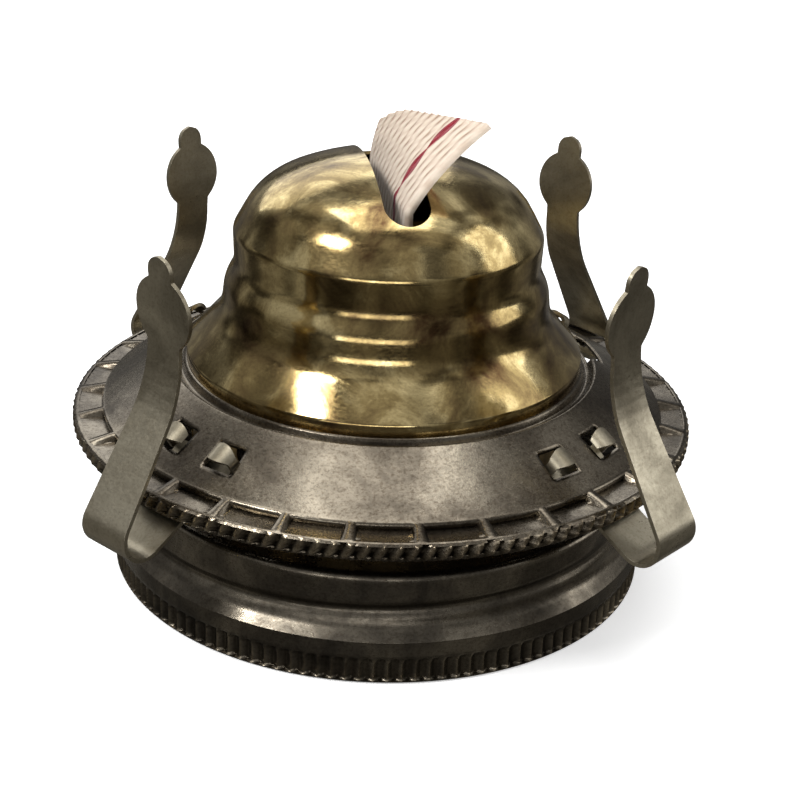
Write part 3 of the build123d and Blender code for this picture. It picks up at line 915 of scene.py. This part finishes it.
def slack_point(gone):
    """Where the slack has got to after this much tape, as (x, z)."""
    down, bend, out, fold, _ = RUNS
    if gone < down:
        return 0, SPLIT_Z - gone
    gone -= down
    if gone < bend:
        turn = gone / TURN_R
        return TURN_R * (1 - cos(turn)), UPPER_Z + TURN_R * (1 - sin(turn))
    gone -= bend
    if gone < out:
        return TURN_R + gone, UPPER_Z
    gone -= out
    if gone < fold:
        turn = gone / FOLD_R
        return REACH - FOLD_R + FOLD_R * sin(turn), FLOOR_Z + FOLD_R + FOLD_R * cos(turn)
    return REACH - FOLD_R - (gone - fold), FLOOR_Z


SLACK = sum(RUNS)
tape = flat_tape(200, SLACK)
for point in tape.verts:
    x, z = slack_point(SLACK - point.co.y)
    point.co = Vector((x, point.co.x - WICK_WIDTH / 2, z)) * MM
bmesh.ops.recalc_face_normals(tape, faces=tape.faces[:])
slack = finished("wick_slack", tape, "burner", cotton, sharp=80)
thicken(slack, WICK_THICK - 0.2, offset=0.0)
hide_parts("wick_tail")
slack.parent = None
del slack["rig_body"]
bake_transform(slack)
print("slack %.0f mm" % SLACK)

# %% [markdown]
# ## The solids that stay
#
# Inside the burner the solids are already the right shape: the drum with its air holes, the
# tube, the wheels and the shaft. They only need a finish. Assigning to a solid's material
# slot changes its look and leaves its mesh alone.

# %% Give them their finish
FINISHES = {
    "cap_gasket": gasket_rubber, "base_plate": dark_brass, "air_basket": inner_brass,
    "air_diffuser": inner_brass, "shaft_bush": inner_brass, "wick_tube": inner_brass,
    "ratchet_cover": inner_brass, "vent_tube": inner_brass, "wick_shaft": steel,
    "thumbwheel_inner": spring_brass, "thumbwheel_outer": spring_brass,
}
for number in range(1, 5):
    FINISHES[f"spur_wheel_{number}"] = inner_brass
for name, finish in FINISHES.items():
    solid = frame["nodes"][name]
    solid.data.materials.clear()
    solid.data.materials.append(finish)
print("solids finished:", len(FINISHES))

# %% [markdown]
# ## Floor and light
#
# Metal shows what is around it, so its light matters more than its colour. A pale floor, one
# big soft lamp above and to the left, a weaker one on the right and a grey world give it
# bright and dark places to mirror.

# %% Lay the floor
FLOOR_HALF = 12.0           # metres, so that its edge stays out of sight from low angles
floor_mesh = bpy.data.meshes.new("floor")
bm = bmesh.new()
bmesh.ops.create_grid(bm, x_segments=1, y_segments=1, size=FLOOR_HALF)
bmesh.ops.translate(bm, verts=bm.verts[:], vec=(0, 0, cad_box[0].z))
bm.to_mesh(floor_mesh)
bm.free()
floor = bpy.data.objects.new("floor", floor_mesh)
scene.collection.objects.link(floor)
pale, tree, shader = start_material("pale_floor")
shader.inputs["Base Color"].default_value = (0.94, 0.94, 0.94, 1)
shader.inputs["Roughness"].default_value = 0.9
shader.inputs["Emission Color"].default_value = (1, 1, 1, 1)
shader.inputs["Emission Strength"].default_value = 0.45
floor_mesh.materials.append(pale)
floor.visible_glossy = False


# %% Hang the lamps
def softbox(name, place, size, power, aim=(0, 0, 0.03)):
    data = bpy.data.lights.new(name, "AREA")
    data.shape = "RECTANGLE"
    data.size, data.size_y = size
    data.energy = power
    lamp = bpy.data.objects.new(name, data)
    scene.collection.objects.link(lamp)
    lamp.location = place
    away = Vector(place) - Vector(aim)
    lamp.rotation_euler = away.to_track_quat("Z", "Y").to_euler()
    return lamp


softbox("key", (-0.42, -0.20, 0.52), (0.20, 0.14), 2.6)
softbox("fill", (0.60, -0.10, 0.35), (0.3, 0.5), 0.9)
softbox("top", (0.0, 0.10, 0.75), (0.5, 0.5), 2.6)
softbox("back", (-0.10, 0.70, 0.45), (0.9, 0.4), 1.6)
softbox("front", (-0.25, -0.75, 0.10), (0.7, 0.16), 1.3)

# %% Set the world
world = bpy.data.worlds.new("studio")
scene.world = world
world.use_nodes = True
tree = world.node_tree
where = node(tree, "ShaderNodeTexCoord")
split = node(tree, "ShaderNodeSeparateXYZ")
tree.links.new(where.outputs["Generated"], split.inputs["Vector"])
sky = ramp(tree, split.outputs["Z"], [(0.0, (0.20, 0.19, 0.17)), (0.30, (0.36, 0.36, 0.36)),
                                      (0.8, (0.80, 0.80, 0.80))])
room = noise(tree, where.outputs["Generated"], 2.6, detail=1.0)
room = ramp(tree, room, [(0.40, (0.10, 0.09, 0.08)), (0.56, (1.0, 1.0, 1.0))])
made = node(tree, "ShaderNodeMix", data_type="RGBA", blend_type="MULTIPLY", Factor=0.85)
tree.links.new(sky, made.inputs["A"])
tree.links.new(room, made.inputs["B"])
tree.links.new(made.outputs["Result"], tree.nodes["Background"].inputs["Color"])
tree.nodes["Background"].inputs["Strength"].default_value = 0.9
scene.view_settings.view_transform = "Standard"

# %% [markdown]
# ## The solids' box
#
# The finer meshes are made to fit the solids. The box of the solids is printed, in
# millimetres.

# %% Print the solids' box
bpy.context.view_layer.update()
print("solids", [tuple(round(v / MM, 1) for v in c) for c in cad_box])
